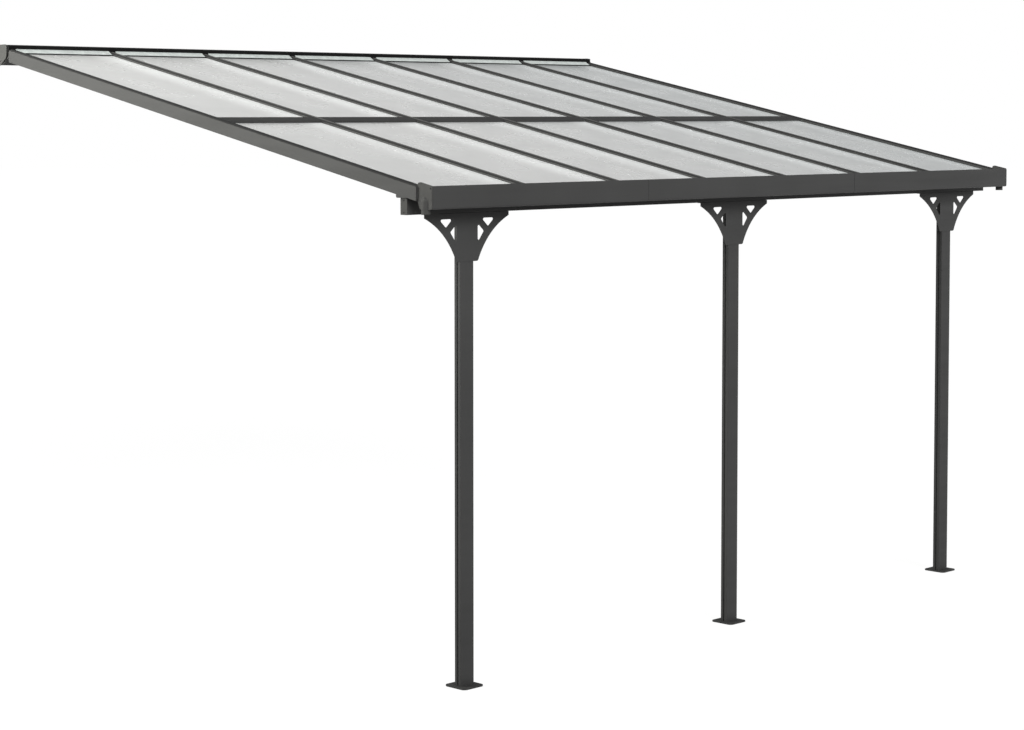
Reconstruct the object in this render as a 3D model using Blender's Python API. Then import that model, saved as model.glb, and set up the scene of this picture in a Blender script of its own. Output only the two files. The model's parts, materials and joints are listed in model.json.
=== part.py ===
# Lean-to patio cover that hangs on a house wall and stands on three posts.
# Origin: centre of the wall profile's back face. +X along the wall, -Y away from it, +Z up.
# All sizes are in metres.

import math

import bmesh
import bpy
from mathutils import Vector

# General fit
GAP = 0.0003
CORNER_STEPS = 3
ARCH_STEPS = 8
CUT_MARGIN = 0.2

# Roof layout
BAY_WIDTH = 0.600
BAY_COUNT = 7
ROOF_SLOPE = math.radians(11.67)
WALL_FACE_HEIGHT = 2.721
ROOF_RISE_AT_WALL = 0.023
ROOF_DEPTH = 3.118

# Wall profile
WALL_PROFILE_HEIGHT = 0.100
WALL_PROFILE_DEPTH = 0.085
WALL_PROFILE_WALL = 0.003
WALL_LIP_HEIGHT = 0.0195
WALL_NOSE_RADIUS = 0.006
WALL_BACK_RADIUS = 0.003
WALL_EDGE_RADIUS = 0.001
WALL_BELLY_RADIUS = 0.004
WALL_UNDERSIDE_SETBACK = 0.055
WALL_FRONT_FLAT = 0.041
WALL_CAP_THICKNESS = 0.007
WALL_CAP_OVERHANG = 0.002
WALL_CAP_SETBACK = 0.012
WALL_CAP_TOP_RADIUS = 0.014
WALL_CAP_BELLY_RADIUS = 0.030
WALL_CAP_STEPS = 6
SEAL_THICKNESS = 0.005

# Rafters
RAFTER_DEPTH = 0.0406
RAFTER_BOX_WIDTH = 0.030
RAFTER_WALL = 0.0025
LEDGE_WIDTH = 0.036
LEDGE_THICKNESS = 0.003
RIB_WIDTH = 0.010
CAP_WIDTH = 0.040
CAP_RISE = 0.0145
CAP_EDGE = 0.007
SIDE_CAP_EXTRA = 0.003
SKIRT_THICKNESS = 0.003
DRAFT = 0.0005

# Roof panels and their cross joints
PANEL_THICKNESS = 0.006
PANEL_SIDE_PLAY = 0.003
PANEL_OVERHANG = 0.042
JOINT_DISTANCE = 1.742
JOINT_WIDTH = 0.080
JOINT_RISE = 0.0112
JOINT_BEVEL_RUN = 0.006
JOINT_BEVEL_RISE = 0.003
JOINT_WEB = 0.006
JOINT_FOOT_WIDTH = 0.044
JOINT_FOOT_THICKNESS = 0.003

# Gutter
GUTTER_DEPTH = 0.0845
GUTTER_HEIGHT = 0.096
GUTTER_LIP_RISE = 0.0207
GUTTER_WALL = 0.0025
GUTTER_LIP = 0.009
GUTTER_CORNER = 0.008
GUTTER_BEVEL_RUN = 0.014
GUTTER_BEVEL_RISE = 0.032
GUTTER_END_INSET = 0.009
GUTTER_CAP_THICKNESS = 0.0095
GUTTER_CAP_REAR_RADIUS = 0.012
GUTTER_CAP_FRONT_RADIUS = 0.008
OUTLET_RADIUS = 0.0193
OUTLET_BORE = 0.016
OUTLET_OFFSET = 0.004
OUTLET_SETBACK = 0.042
OUTLET_RISE = 0.033
OUTLET_HOLE_PLAY = 0.001
SPIGOT_RADIUS = 0.0185
SPIGOT_DROP = 0.020
INLET_WIDTH = 0.022
INLET_SILL = 0.002
ROUND_SEGMENTS = 24

# Carrying beam
BEAM_DEPTH = 0.040
BEAM_HEIGHT = 0.070
BEAM_WALL = 0.0025
BEAM_SETBACK = 0.166
BEAM_END_INSET = 0.016
BEAM_CAP_THICKNESS = 0.004
BEAM_CORNER = 0.002
SADDLE_THIN_END = 0.0025
SADDLE_TAIL = 0.020
SADDLE_CORNER = 0.007
SADDLE_INSET = 0.001
SADDLE_BITE = 0.001

# Posts, their feet and the gusset brackets
POST_COUNT = 3
POST_SPACING = 1.769
POST_WIDTH = 0.079
POST_DEPTH = 0.037
POST_WALL = 0.0025
POST_CORNER = 0.003
GROOVE_WIDTH = 0.007
GROOVE_DEPTH = 0.005
BASE_WIDTH = 0.122
BASE_DEPTH = 0.125
BASE_THICKNESS = 0.006
BASE_CORNER = 0.020
BASE_CORNER_STEPS = 6
GUSSET_REACH = 0.208
GUSSET_HEIGHT = 0.205
GUSSET_THICKNESS = 0.002
GUSSET_TIP = 0.0165
GUSSET_FOOT = 0.0285
GUSSET_FOOT_RADIUS = 0.012
GUSSET_HOLLOW = 0.0235
GUSSET_STEPS = 12
GUSSET_FLANGE = 0.020
GUSSET_FLANGE_INSET = 0.001
UPPER_HOLE_LENGTH = 0.079
UPPER_HOLE_HEIGHT = 0.036
UPPER_HOLE_DROP = 0.0235
UPPER_HOLE_FROM_TIP = 0.124
LOWER_HOLE_LENGTH = 0.083
LOWER_HOLE_HEIGHT = 0.037
LOWER_HOLE_FROM_POST = 0.0225
LOWER_HOLE_FROM_FOOT = 0.118
LOWER_HOLE_LEAN = 0.008
HOLE_CORNER = 0.006
HOLE_CORNER_STEPS = 4

# Derived layout, heights measured from the ground
TAN = math.tan(ROOF_SLOPE)
COS = math.cos(ROOF_SLOPE)
ROOF_HEIGHT = WALL_FACE_HEIGHT + ROOF_RISE_AT_WALL
HALF_ROOF = BAY_WIDTH * BAY_COUNT / 2
FRAME_HALF_LENGTH = HALF_ROOF + CAP_WIDTH / 2 - WALL_CAP_OVERHANG
GUTTER_CAP_FACE = HALF_ROOF + CAP_WIDTH / 2 - GUTTER_END_INSET
GUTTER_HALF_LENGTH = GUTTER_CAP_FACE - GUTTER_CAP_THICKNESS - GAP
GUTTER_BACK = -ROOF_DEPTH + GUTTER_DEPTH
BEAM_Y = -ROOF_DEPTH + BEAM_SETBACK


def roof_height(y):
    """Height of the panels' underside over the ground, y metres from the wall face."""
    return ROOF_HEIGHT + TAN * y


def slope_distance(y):
    """Distance down the panels' underside to the vertical plane y."""
    return -y / COS


BEAM_TOP = roof_height(BEAM_Y - BEAM_DEPTH / 2) - RAFTER_DEPTH / COS - SADDLE_THIN_END
BEAM_BOTTOM = BEAM_TOP - BEAM_HEIGHT
GUTTER_TOP = roof_height(GUTTER_BACK) + GUTTER_LIP_RISE
GUTTER_BOTTOM = GUTTER_TOP - GUTTER_HEIGHT


# Scene helpers

def clear_scene():
    for obj in list(bpy.data.objects):
        bpy.data.objects.remove(obj, do_unlink=True)


def new_collection(name):
    collection = bpy.data.collections.new(name)
    bpy.context.scene.collection.children.link(collection)
    return collection


def material(name, colour, roughness, metallic, alpha=1.0):
    mat = bpy.data.materials.new(name)
    mat.use_nodes = True
    shader = mat.node_tree.nodes["Principled BSDF"]
    shader.inputs["Base Color"].default_value = (*colour, 1.0)
    shader.inputs["Roughness"].default_value = roughness
    shader.inputs["Metallic"].default_value = metallic
    shader.inputs["Alpha"].default_value = alpha
    return mat


def empty(name, location, rotation, parent=None):
    obj = bpy.data.objects.new(name, None)
    obj.location = location
    obj.rotation_euler = rotation
    obj.parent = parent
    PARTS.objects.link(obj)
    return obj


def rounded(points, radius, steps=CORNER_STEPS):
    """Closed outline whose corners are replaced by arcs; radius is one value or one per corner."""
    outline = []
    count = len(points)
    radii = radius if isinstance(radius, (list, tuple)) else [radius] * count
    for index, corner in enumerate(points):
        here = Vector(corner)
        back = (Vector(points[index - 1]) - here)
        ahead = (Vector(points[(index + 1) % count]) - here)
        r = radii[index]
        if r <= 0:
            outline.append(here)
            continue
        half = back.angle(ahead) / 2
        reach = r / math.tan(half)
        centre = here + (back.normalized() + ahead.normalized()).normalized() * (r / math.sin(half))
        start = here + back.normalized() * reach - centre
        end = here + ahead.normalized() * reach - centre
        sweep = start.angle_signed(end)
        for step in range(steps + 1):
            turn = -sweep * step / steps
            outline.append(centre + Vector((
                start.x * math.cos(turn) - start.y * math.sin(turn),
                start.x * math.sin(turn) + start.y * math.cos(turn))))
    return outline


def rectangle(x0, y0, x1, y1):
    return [(x0, y0), (x1, y0), (x1, y1), (x0, y1)]


def extrusion(name, loops, thickness, collection=None):
    """Flat outline with holes, extruded both ways from its own plane."""
    curve = bpy.data.curves.new(name, "CURVE")
    curve.dimensions = "2D"
    curve.fill_mode = "BOTH"
    curve.extrude = thickness / 2
    for loop in loops:
        spline = curve.splines.new("POLY")
        spline.points.add(len(loop) - 1)
        for point, place in zip(spline.points, loop):
            point.co = (place[0], place[1], 0.0, 1.0)
        spline.use_cyclic_u = True
    obj = bpy.data.objects.new(name, curve)
    (collection or PARTS).objects.link(obj)
    return obj


def box(name, size, centre, collection=None):
    mesh = bpy.data.meshes.new(name)
    bm = bmesh.new()
    bmesh.ops.create_cube(bm, size=1.0)
    bmesh.ops.scale(bm, vec=size, verts=bm.verts)
    bm.to_mesh(mesh)
    bm.free()
    obj = bpy.data.objects.new(name, mesh)
    obj.location = centre
    (collection or PARTS).objects.link(obj)
    return obj


def cylinder(name, radius, bottom, top, x, y, collection=None):
    mesh = bpy.data.meshes.new(name)
    bm = bmesh.new()
    bmesh.ops.create_cone(bm, cap_ends=True, segments=ROUND_SEGMENTS, radius1=radius,
                          radius2=radius, depth=top - bottom)
    bm.to_mesh(mesh)
    bm.free()
    obj = bpy.data.objects.new(name, mesh)
    obj.location = (x, y, (bottom + top) / 2)
    (collection or PARTS).objects.link(obj)
    return obj


def ball(name, radius, centre, collection=None):
    mesh = bpy.data.meshes.new(name)
    bm = bmesh.new()
    bmesh.ops.create_uvsphere(bm, u_segments=ROUND_SEGMENTS, v_segments=ROUND_SEGMENTS // 2,
                              radius=radius)
    bm.to_mesh(mesh)
    bm.free()
    obj = bpy.data.objects.new(name, mesh)
    obj.location = centre
    (collection or PARTS).objects.link(obj)
    return obj


def along_x(obj, x, parent):
    """Stands an outline drawn in (Y, Z) upright and runs its thickness along X."""
    obj.rotation_euler = (math.pi / 2, 0.0, math.pi / 2)
    obj.location = (x, 0.0, 0.0)
    obj.parent = parent
    return obj


def down_slope(obj, distance, x, parent):
    """Stands an outline drawn in (X, roof normal) upright and runs its thickness down the roof."""
    obj.rotation_euler = (math.pi / 2, 0.0, 0.0)
    obj.location = (x, -distance, 0.0)
    obj.parent = parent
    return obj


def upright(obj, centre, parent):
    """Keeps an outline drawn in (X, Y) level, so that its thickness runs up."""
    obj.location = centre
    obj.parent = parent
    return obj


def facing_wall(obj, centre, parent):
    """Stands an outline drawn in (X, Z) upright, so that its thickness runs along Y."""
    obj.rotation_euler = (math.pi / 2, 0.0, 0.0)
    obj.location = centre
    obj.parent = parent
    return obj


def as_tool(obj):
    obj.hide_render = True
    obj.display_type = "WIRE"
    return obj


def as_mesh(obj):
    """Replaces a curve object by a welded mesh object in the same place."""
    graph = bpy.context.evaluated_depsgraph_get()
    mesh = bpy.data.meshes.new_from_object(obj.evaluated_get(graph), depsgraph=graph)
    bm = bmesh.new()
    bm.from_mesh(mesh)
    bmesh.ops.remove_doubles(bm, verts=bm.verts, dist=0.00001)
    bmesh.ops.recalc_face_normals(bm, faces=bm.faces)
    bm.to_mesh(mesh)
    bm.free()
    solid = bpy.data.objects.new(obj.name + "_mesh", mesh)
    solid.rotation_euler = obj.rotation_euler
    solid.location = obj.location
    solid.parent = obj.parent
    obj.users_collection[0].objects.link(solid)
    name = obj.name
    bpy.data.objects.remove(obj, do_unlink=True)
    solid.name = name
    return solid


def combine(obj, tool, operation):
    modifier = obj.modifiers.new(operation.lower(), "BOOLEAN")
    modifier.operation = operation
    modifier.solver = "EXACT"
    modifier.object = tool
    return obj


# Wall profile

def nose_outline(inset=0.0):
    """Section of the wall profile in (Y, Z): flat back, lip over the roof, bevelled underside."""
    bottom = WALL_FACE_HEIGHT - WALL_PROFILE_HEIGHT / 2 + inset
    top = WALL_FACE_HEIGHT + WALL_PROFILE_HEIGHT / 2 - inset
    front = -WALL_PROFILE_DEPTH + inset
    recess = front + SEAL_THICKNESS + 2 * GAP
    lip = WALL_FACE_HEIGHT + WALL_PROFILE_HEIGHT / 2 - WALL_LIP_HEIGHT + inset
    ledge = seal_bottom() - GAP - inset
    belly = bottom + WALL_FRONT_FLAT
    points = [(-inset, bottom), (-inset, top), (front, top), (front, lip), (recess, lip),
              (recess, ledge), (front, ledge), (front, belly),
              (front + WALL_UNDERSIDE_SETBACK, bottom)]
    radii = [0, WALL_BACK_RADIUS, WALL_NOSE_RADIUS, WALL_EDGE_RADIUS, 0, 0, WALL_EDGE_RADIUS,
             WALL_BELLY_RADIUS, WALL_BELLY_RADIUS]
    return points, radii


def seal_bottom():
    return roof_height(-WALL_PROFILE_DEPTH) + PANEL_THICKNESS / COS + GAP


def seal_top():
    return WALL_FACE_HEIGHT + WALL_PROFILE_HEIGHT / 2 - WALL_LIP_HEIGHT - GAP


def build_wall_profile(site):
    outer, radii = nose_outline()
    inner, _ = nose_outline(WALL_PROFILE_WALL)
    outer_loop = rounded(outer, radii)
    length = 2 * FRAME_HALF_LENGTH
    obj = along_x(extrusion("wall_profile", [outer_loop, inner], length), 0.0, site)
    obj.data.materials.append(FRAME_PAINT)


def build_wall_seal(site):
    front = -WALL_PROFILE_DEPTH + GAP
    loop = rectangle(front, seal_bottom(), front + SEAL_THICKNESS, seal_top())
    obj = along_x(extrusion("wall_seal", [loop], 2 * FRAME_HALF_LENGTH), 0.0, site)
    obj.data.materials.append(SEAL)


def build_wall_caps(site):
    bottom = WALL_FACE_HEIGHT - WALL_PROFILE_HEIGHT / 2 - WALL_CAP_OVERHANG
    top = WALL_FACE_HEIGHT + WALL_PROFILE_HEIGHT / 2 + WALL_CAP_OVERHANG
    front = -WALL_PROFILE_DEPTH + WALL_CAP_SETBACK
    belly = bottom + WALL_FRONT_FLAT
    points = [(0.0, bottom), (0.0, top), (front, top), (front, belly),
              (front + WALL_UNDERSIDE_SETBACK, bottom)]
    radii = [0, WALL_BACK_RADIUS, WALL_CAP_TOP_RADIUS, WALL_CAP_BELLY_RADIUS,
             WALL_CAP_BELLY_RADIUS]
    for side, name in ((-1, "wall_cap_left"), (1, "wall_cap_right")):
        x = side * (FRAME_HALF_LENGTH + GAP + WALL_CAP_THICKNESS / 2)
        plate = extrusion(name, [rounded(points, radii, WALL_CAP_STEPS)], WALL_CAP_THICKNESS)
        obj = along_x(plate, x, site)
        obj.data.materials.append(CAP_PLASTIC)


# Rafters

def cap_outline(extra=0.0):
    """Arched clip-on cap in (X, roof normal), from the panels' top upwards."""
    low = PANEL_THICKNESS + GAP
    edge = low + CAP_EDGE + extra
    crown = PANEL_THICKNESS + CAP_RISE + extra
    half = CAP_WIDTH / 2
    arch = []
    for step in range(ARCH_STEPS + 1):
        t = 2 * step / ARCH_STEPS - 1
        arch.append((half * t, edge + (crown - edge) * (1 - t * t)))
    return low, half, arch


def rafter_outline(side=0):
    """Rafter section: box below the panels, ledge under their edges, rib between, cap above."""
    low, half, arch = cap_outline(SIDE_CAP_EXTRA if side else 0.0)
    rib = RIB_WIDTH / 2
    ledge = LEDGE_WIDTH / 2
    web = RAFTER_BOX_WIDTH / 2
    under = -GAP - LEDGE_THICKNESS
    right = [(half, low), (rib, low + DRAFT), (rib, -GAP), (ledge, -GAP - DRAFT),
             (ledge, under), (web, under - DRAFT), (web, -RAFTER_DEPTH)]
    left = [(-x, n) for x, n in reversed(right)]
    if side < 0:
        left = [(-half, -RAFTER_DEPTH)]
    if side > 0:
        right = [(half, -RAFTER_DEPTH)]
    return left + arch + right


def rafter_bore(side=0):
    """Hollow of the rafter's box."""
    x0 = -RAFTER_BOX_WIDTH / 2 + RAFTER_WALL
    x1 = RAFTER_BOX_WIDTH / 2 - RAFTER_WALL
    if side < 0:
        x0 = -CAP_WIDTH / 2 + SKIRT_THICKNESS
    if side > 0:
        x1 = CAP_WIDTH / 2 - SKIRT_THICKNESS
    return rectangle(x0, -RAFTER_DEPTH + RAFTER_WALL, x1, -GAP - LEDGE_THICKNESS + DRAFT)


def saddle_tool(site, width):
    """Wedge that seats the sloping rafter on the level beam."""
    front = BEAM_Y - BEAM_DEPTH / 2
    back = BEAM_Y + BEAM_DEPTH / 2 + SADDLE_TAIL
    under_rafter = RAFTER_DEPTH / COS - SADDLE_BITE
    points = [(front, BEAM_TOP + GAP), (back, BEAM_TOP + GAP),
              (back, roof_height(back) - under_rafter), (front, roof_height(front) - under_rafter)]
    loop = rounded(points, [0, SADDLE_CORNER, 0, 0])
    return as_tool(as_mesh(along_x(extrusion("saddle_tool", [loop], width, TOOLS), 0.0, site)))


def wall_end_tool(site):
    """Cuts the rafters' upper ends upright, along the wall profile's front."""
    width = 2 * (HALF_ROOF + CUT_MARGIN)
    front = -WALL_PROFILE_DEPTH - GAP
    points = rectangle(front, WALL_FACE_HEIGHT - CUT_MARGIN, front + CUT_MARGIN,
                       WALL_FACE_HEIGHT + CUT_MARGIN)
    return as_tool(as_mesh(along_x(extrusion("wall_end_tool", [points], width, TOOLS), 0.0, site)))


def heel_tool(site):
    """Cuts the rafters' box off at the gutter's back, below the panels."""
    width = 2 * (HALF_ROOF + CUT_MARGIN)
    near = GUTTER_BACK + GAP
    far = near - CUT_MARGIN
    low = roof_height(near) - CUT_MARGIN
    points = [(near, low), (near, roof_height(near)), (far, roof_height(far)), (far, low)]
    return as_tool(as_mesh(along_x(extrusion("heel_tool", [points], width, TOOLS), 0.0, site)))


def side_end_tool(site):
    """Cuts the side rafters' lower ends upright at the back of the gutter."""
    width = 2 * (HALF_ROOF + CUT_MARGIN)
    near = GUTTER_BACK + GAP
    points = rectangle(near - CUT_MARGIN, roof_height(near) - CUT_MARGIN, near,
                       roof_height(near) + CUT_MARGIN)
    return as_tool(as_mesh(along_x(extrusion("side_end_tool", [points], width, TOOLS), 0.0, site)))


def build_rafters(site, roof):
    lower_end = slope_distance(GUTTER_BACK) + PANEL_OVERHANG
    wall_cut = wall_end_tool(site)
    heel_cut = heel_tool(site)
    side_cut = side_end_tool(site)
    inner_saddle = saddle_tool(site, RAFTER_BOX_WIDTH - 2 * SADDLE_INSET)
    side_saddle = saddle_tool(site, CAP_WIDTH - 2 * SADDLE_INSET)
    for index in range(BAY_COUNT + 1):
        x = index * BAY_WIDTH - HALF_ROOF
        side = {0: -1, BAY_COUNT: 1}.get(index, 0)
        loops = [rafter_outline(side), rafter_bore(side)]
        name = "rafter_%d" % (index + 1)
        obj = as_mesh(down_slope(extrusion(name, loops, lower_end), lower_end / 2, x, roof))
        saddle = side_saddle if side else inner_saddle
        own_saddle = saddle.copy()
        own_saddle.name = name + "_saddle"
        own_saddle.location.x = x
        TOOLS.objects.link(own_saddle)
        combine(obj, own_saddle, "UNION")
        combine(obj, wall_cut, "DIFFERENCE")
        combine(obj, side_cut if side else heel_cut, "DIFFERENCE")
        obj.data.materials.append(FRAME_PAINT)
    bpy.data.objects.remove(inner_saddle)
    bpy.data.objects.remove(side_saddle)


# Roof panels

def panel_span():
    width = BAY_WIDTH - RIB_WIDTH - 2 * PANEL_SIDE_PLAY
    upper_start = slope_distance(-WALL_PROFILE_DEPTH) + GAP
    upper_end = JOINT_DISTANCE - JOINT_WEB / 2 - GAP
    lower_start = JOINT_DISTANCE + JOINT_WEB / 2 + GAP
    lower_end = slope_distance(GUTTER_BACK) + PANEL_OVERHANG
    return width, (upper_start, upper_end), (lower_start, lower_end)


def build_panels(roof):
    width, upper, lower = panel_span()
    for index in range(BAY_COUNT):
        x = (index + 0.5) * BAY_WIDTH - HALF_ROOF
        for label, (start, end) in (("upper", upper), ("lower", lower)):
            name = "roof_panel_%s_%d" % (label, index + 1)
            centre = (x, -(start + end) / 2, PANEL_THICKNESS / 2)
            obj = box(name, (width, end - start, PANEL_THICKNESS), centre)
            obj.parent = roof
            obj.data.materials.append(POLYCARBONATE)


def joint_outline():
    """H section in (down slope, roof normal) that links an upper and a lower panel."""
    low = PANEL_THICKNESS + GAP
    top = PANEL_THICKNESS + JOINT_RISE
    half = JOINT_WIDTH / 2
    web = JOINT_WEB / 2
    foot = JOINT_FOOT_WIDTH / 2
    foot_low = -GAP - JOINT_FOOT_THICKNESS
    shoulder = top - JOINT_BEVEL_RISE
    flat = half - JOINT_BEVEL_RUN
    return [(-half, low), (-web, low + DRAFT), (-web, -GAP), (-foot, -GAP - DRAFT),
            (-foot, foot_low), (foot, foot_low), (foot, -GAP - DRAFT), (web, -GAP),
            (web, low + DRAFT), (half, low),
            (half, shoulder), (flat, top), (-flat, top), (-half, shoulder)]


def build_joints(roof):
    length = BAY_WIDTH - CAP_WIDTH - 2 * GAP
    for index in range(BAY_COUNT):
        x = (index + 0.5) * BAY_WIDTH - HALF_ROOF
        obj = extrusion("panel_joint_%d" % (index + 1), [joint_outline()], length)
        along_x(obj, x, roof)
        obj.location.y = -JOINT_DISTANCE
        obj.data.materials.append(FRAME_PAINT)


# Gutter

def gutter_sheet():
    """Open line of the gutter's section in (Y, Z), from the front lip round to the back."""
    half = GUTTER_WALL / 2
    front = -ROOF_DEPTH + half
    back = GUTTER_BACK - half
    low = GUTTER_BOTTOM + half
    top = GUTTER_TOP - half
    back_top = roof_height(GUTTER_BACK - GUTTER_WALL) - GAP
    line = [(front + GUTTER_LIP, top - GUTTER_LIP), (front + GUTTER_LIP, top), (front, top),
            (front, low), (back - GUTTER_BEVEL_RUN, low), (back, low + GUTTER_BEVEL_RISE),
            (back, back_top)]
    return rounded(line, [0, 0, 0, GUTTER_CORNER - half, 0, 0, 0])


def sheet_outline(line, thickness):
    """Closed outline of a bent sheet: the line offset to both sides with mitred corners."""
    left = []
    right = []
    for index, place in enumerate(line):
        here = Vector(place)
        before = (here - Vector(line[index - 1])).normalized() if index else None
        after = (Vector(line[index + 1]) - here).normalized() if index + 1 < len(line) else None
        first = before or after
        second = after or before
        normal = Vector((-first.y - second.y, first.x + second.x)).normalized()
        scale = thickness / 2 / normal.dot(Vector((-first.y, first.x)))
        left.append(here + normal * scale)
        right.append(here - normal * scale)
    return left + right[::-1]


def build_gutter(site):
    loop = sheet_outline(gutter_sheet(), GUTTER_WALL)
    obj = as_mesh(along_x(extrusion("gutter", [loop], 2 * GUTTER_HALF_LENGTH), 0.0, site))
    for side in (-1, 1):
        x, y = outlet_axis(side)
        tool = cylinder("outlet_hole_tool", OUTLET_RADIUS + OUTLET_HOLE_PLAY,
                        GUTTER_BOTTOM - SPIGOT_DROP, GUTTER_BOTTOM + SPIGOT_DROP, x, y, TOOLS)
        tool.parent = site
        combine(obj, as_tool(tool), "DIFFERENCE")
    obj.data.materials.append(FRAME_PAINT)


def outlet_axis(side):
    return side * (GUTTER_HALF_LENGTH + OUTLET_OFFSET), -ROOF_DEPTH + OUTLET_SETBACK


def gutter_cap_outline():
    """End plate in (Y, Z): bevelled like the trough, with a top edge that follows the roof."""
    points = [(GUTTER_BACK - GUTTER_BEVEL_RUN, GUTTER_BOTTOM),
              (GUTTER_BACK, GUTTER_BOTTOM + GUTTER_BEVEL_RISE),
              (GUTTER_BACK, GUTTER_TOP + TAN * GUTTER_DEPTH), (-ROOF_DEPTH, GUTTER_TOP),
              (-ROOF_DEPTH, GUTTER_BOTTOM)]
    return rounded(points, [0, 0, GUTTER_CAP_REAR_RADIUS, GUTTER_CAP_FRONT_RADIUS, GUTTER_CORNER])


def outlet_steps(name, side):
    """What turns a gutter cap's plate into an outlet: domed pipe, spigot, bore and inlet."""
    x, y = outlet_axis(side)
    low = GUTTER_BOTTOM - SPIGOT_DROP
    high = GUTTER_BOTTOM + OUTLET_RISE
    inlet_low = GUTTER_BOTTOM + INLET_SILL
    inlet_size = (2 * OUTLET_RADIUS, INLET_WIDTH, high - INLET_SILL - inlet_low)
    inlet_centre = (x - side * OUTLET_RADIUS, y, (high - INLET_SILL + inlet_low) / 2)
    return [
        (cylinder(name + "_pipe", OUTLET_RADIUS, GUTTER_BOTTOM - GAP, high, x, y, TOOLS), "UNION"),
        (ball(name + "_dome", OUTLET_RADIUS - GAP, (x, y, high), TOOLS), "UNION"),
        (cylinder(name + "_spigot", SPIGOT_RADIUS, low, inlet_low, x, y, TOOLS), "UNION"),
        (cylinder(name + "_bore", OUTLET_BORE, low - SPIGOT_DROP, high, x, y, TOOLS), "DIFFERENCE"),
        (box(name + "_inlet", inlet_size, inlet_centre, TOOLS), "DIFFERENCE"),
    ]


def build_gutter_caps(site):
    for side, name in ((-1, "gutter_cap_left"), (1, "gutter_cap_right")):
        centre_x = side * (GUTTER_HALF_LENGTH + GAP + GUTTER_CAP_THICKNESS / 2)
        plate = extrusion(name, [gutter_cap_outline()], GUTTER_CAP_THICKNESS)
        obj = as_mesh(along_x(plate, centre_x, site))
        for tool, operation in outlet_steps(name, side):
            tool.parent = site
            combine(obj, as_tool(tool), operation)
        obj.data.materials.append(CAP_PLASTIC)


# Carrying beam

def build_beam(site):
    half = HALF_ROOF + CAP_WIDTH / 2 - BEAM_END_INSET + BEAM_CAP_THICKNESS
    y0 = BEAM_Y - BEAM_DEPTH / 2
    y1 = BEAM_Y + BEAM_DEPTH / 2
    outer = rounded(rectangle(y0, BEAM_BOTTOM, y1, BEAM_TOP), BEAM_CORNER)
    inner = rectangle(y0 + BEAM_WALL, BEAM_BOTTOM + BEAM_WALL, y1 - BEAM_WALL, BEAM_TOP - BEAM_WALL)
    beam = along_x(extrusion("carrying_beam", [outer, inner], 2 * half), 0.0, site)
    beam.data.materials.append(FRAME_PAINT)
    for side, name in ((-1, "beam_cap_left"), (1, "beam_cap_right")):
        x = side * (half + GAP + BEAM_CAP_THICKNESS / 2)
        cap = along_x(extrusion(name, [outer], BEAM_CAP_THICKNESS), x, site)
        cap.data.materials.append(CAP_PLASTIC)


# Posts, feet and gussets

def post_outline():
    """Post section in (X, Y): rounded box with a groove along the middle of each narrow side."""
    x = POST_WIDTH / 2
    y = POST_DEPTH / 2
    g = GROOVE_WIDTH / 2
    floor = x - GROOVE_DEPTH
    lip = x - DRAFT
    points = [(-x, -y), (x, -y), (lip, -g), (floor, -g), (floor, g), (lip, g), (x, y), (-x, y),
              (-lip, g), (-floor, g), (-floor, -g), (-lip, -g)]
    radii = [POST_CORNER, POST_CORNER, 0, 0, 0, 0] * 2
    return rounded(points, radii)


def post_bore():
    x = POST_WIDTH / 2 - GROOVE_DEPTH - POST_WALL
    y = POST_DEPTH / 2 - POST_WALL
    return rectangle(-x, -y, x, y)


def post_places():
    middle = (POST_COUNT - 1) / 2
    return [(index + 1, (index - middle) * POST_SPACING) for index in range(POST_COUNT)]


def build_posts(site):
    bottom = BASE_THICKNESS + GAP
    top = BEAM_BOTTOM - GAP
    for number, x in post_places():
        post = extrusion("post_%d" % number, [post_outline(), post_bore()], top - bottom)
        upright(post, (x, BEAM_Y, (top + bottom) / 2), site)
        post.data.materials.append(FRAME_PAINT)


def build_base_plates(site):
    half_x = BASE_WIDTH / 2
    half_y = BASE_DEPTH / 2
    loop = rounded(rectangle(-half_x, -half_y, half_x, half_y), BASE_CORNER, BASE_CORNER_STEPS)
    for number, x in post_places():
        plate = extrusion("base_plate_%d" % number, [loop], BASE_THICKNESS)
        upright(plate, (x, BEAM_Y, BASE_THICKNESS / 2), site)
        plate.data.materials.append(FRAME_PAINT)


def gusset_half():
    """Right half of the gusset's outline in (X, Z), from its tip to its foot; its top is Z = 0."""
    tip = Vector((POST_WIDTH / 2 + GUSSET_REACH, -GUSSET_TIP))
    foot = Vector((POST_WIDTH / 2 + GUSSET_FOOT, -GUSSET_HEIGHT))
    heel = Vector((foot.x, foot.y + GUSSET_FOOT_RADIUS))
    points = [Vector((tip.x, 0.0)), tip]
    # a flat bow that is hollowed out of the straight line from tip to heel, towards the post
    chord = heel - tip
    inward = Vector((chord.y, -chord.x)).normalized()
    for step in range(1, GUSSET_STEPS):
        t = step / GUSSET_STEPS
        points.append(tip + chord * t + inward * (4 * GUSSET_HOLLOW * t * (1 - t)))
    centre = heel - Vector((GUSSET_FOOT_RADIUS, 0.0))
    for step in range(CORNER_STEPS + 1):
        turn = math.pi / 2 * step / CORNER_STEPS
        points.append(centre + GUSSET_FOOT_RADIUS * Vector((math.cos(turn), -math.sin(turn))))
    return points


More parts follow.
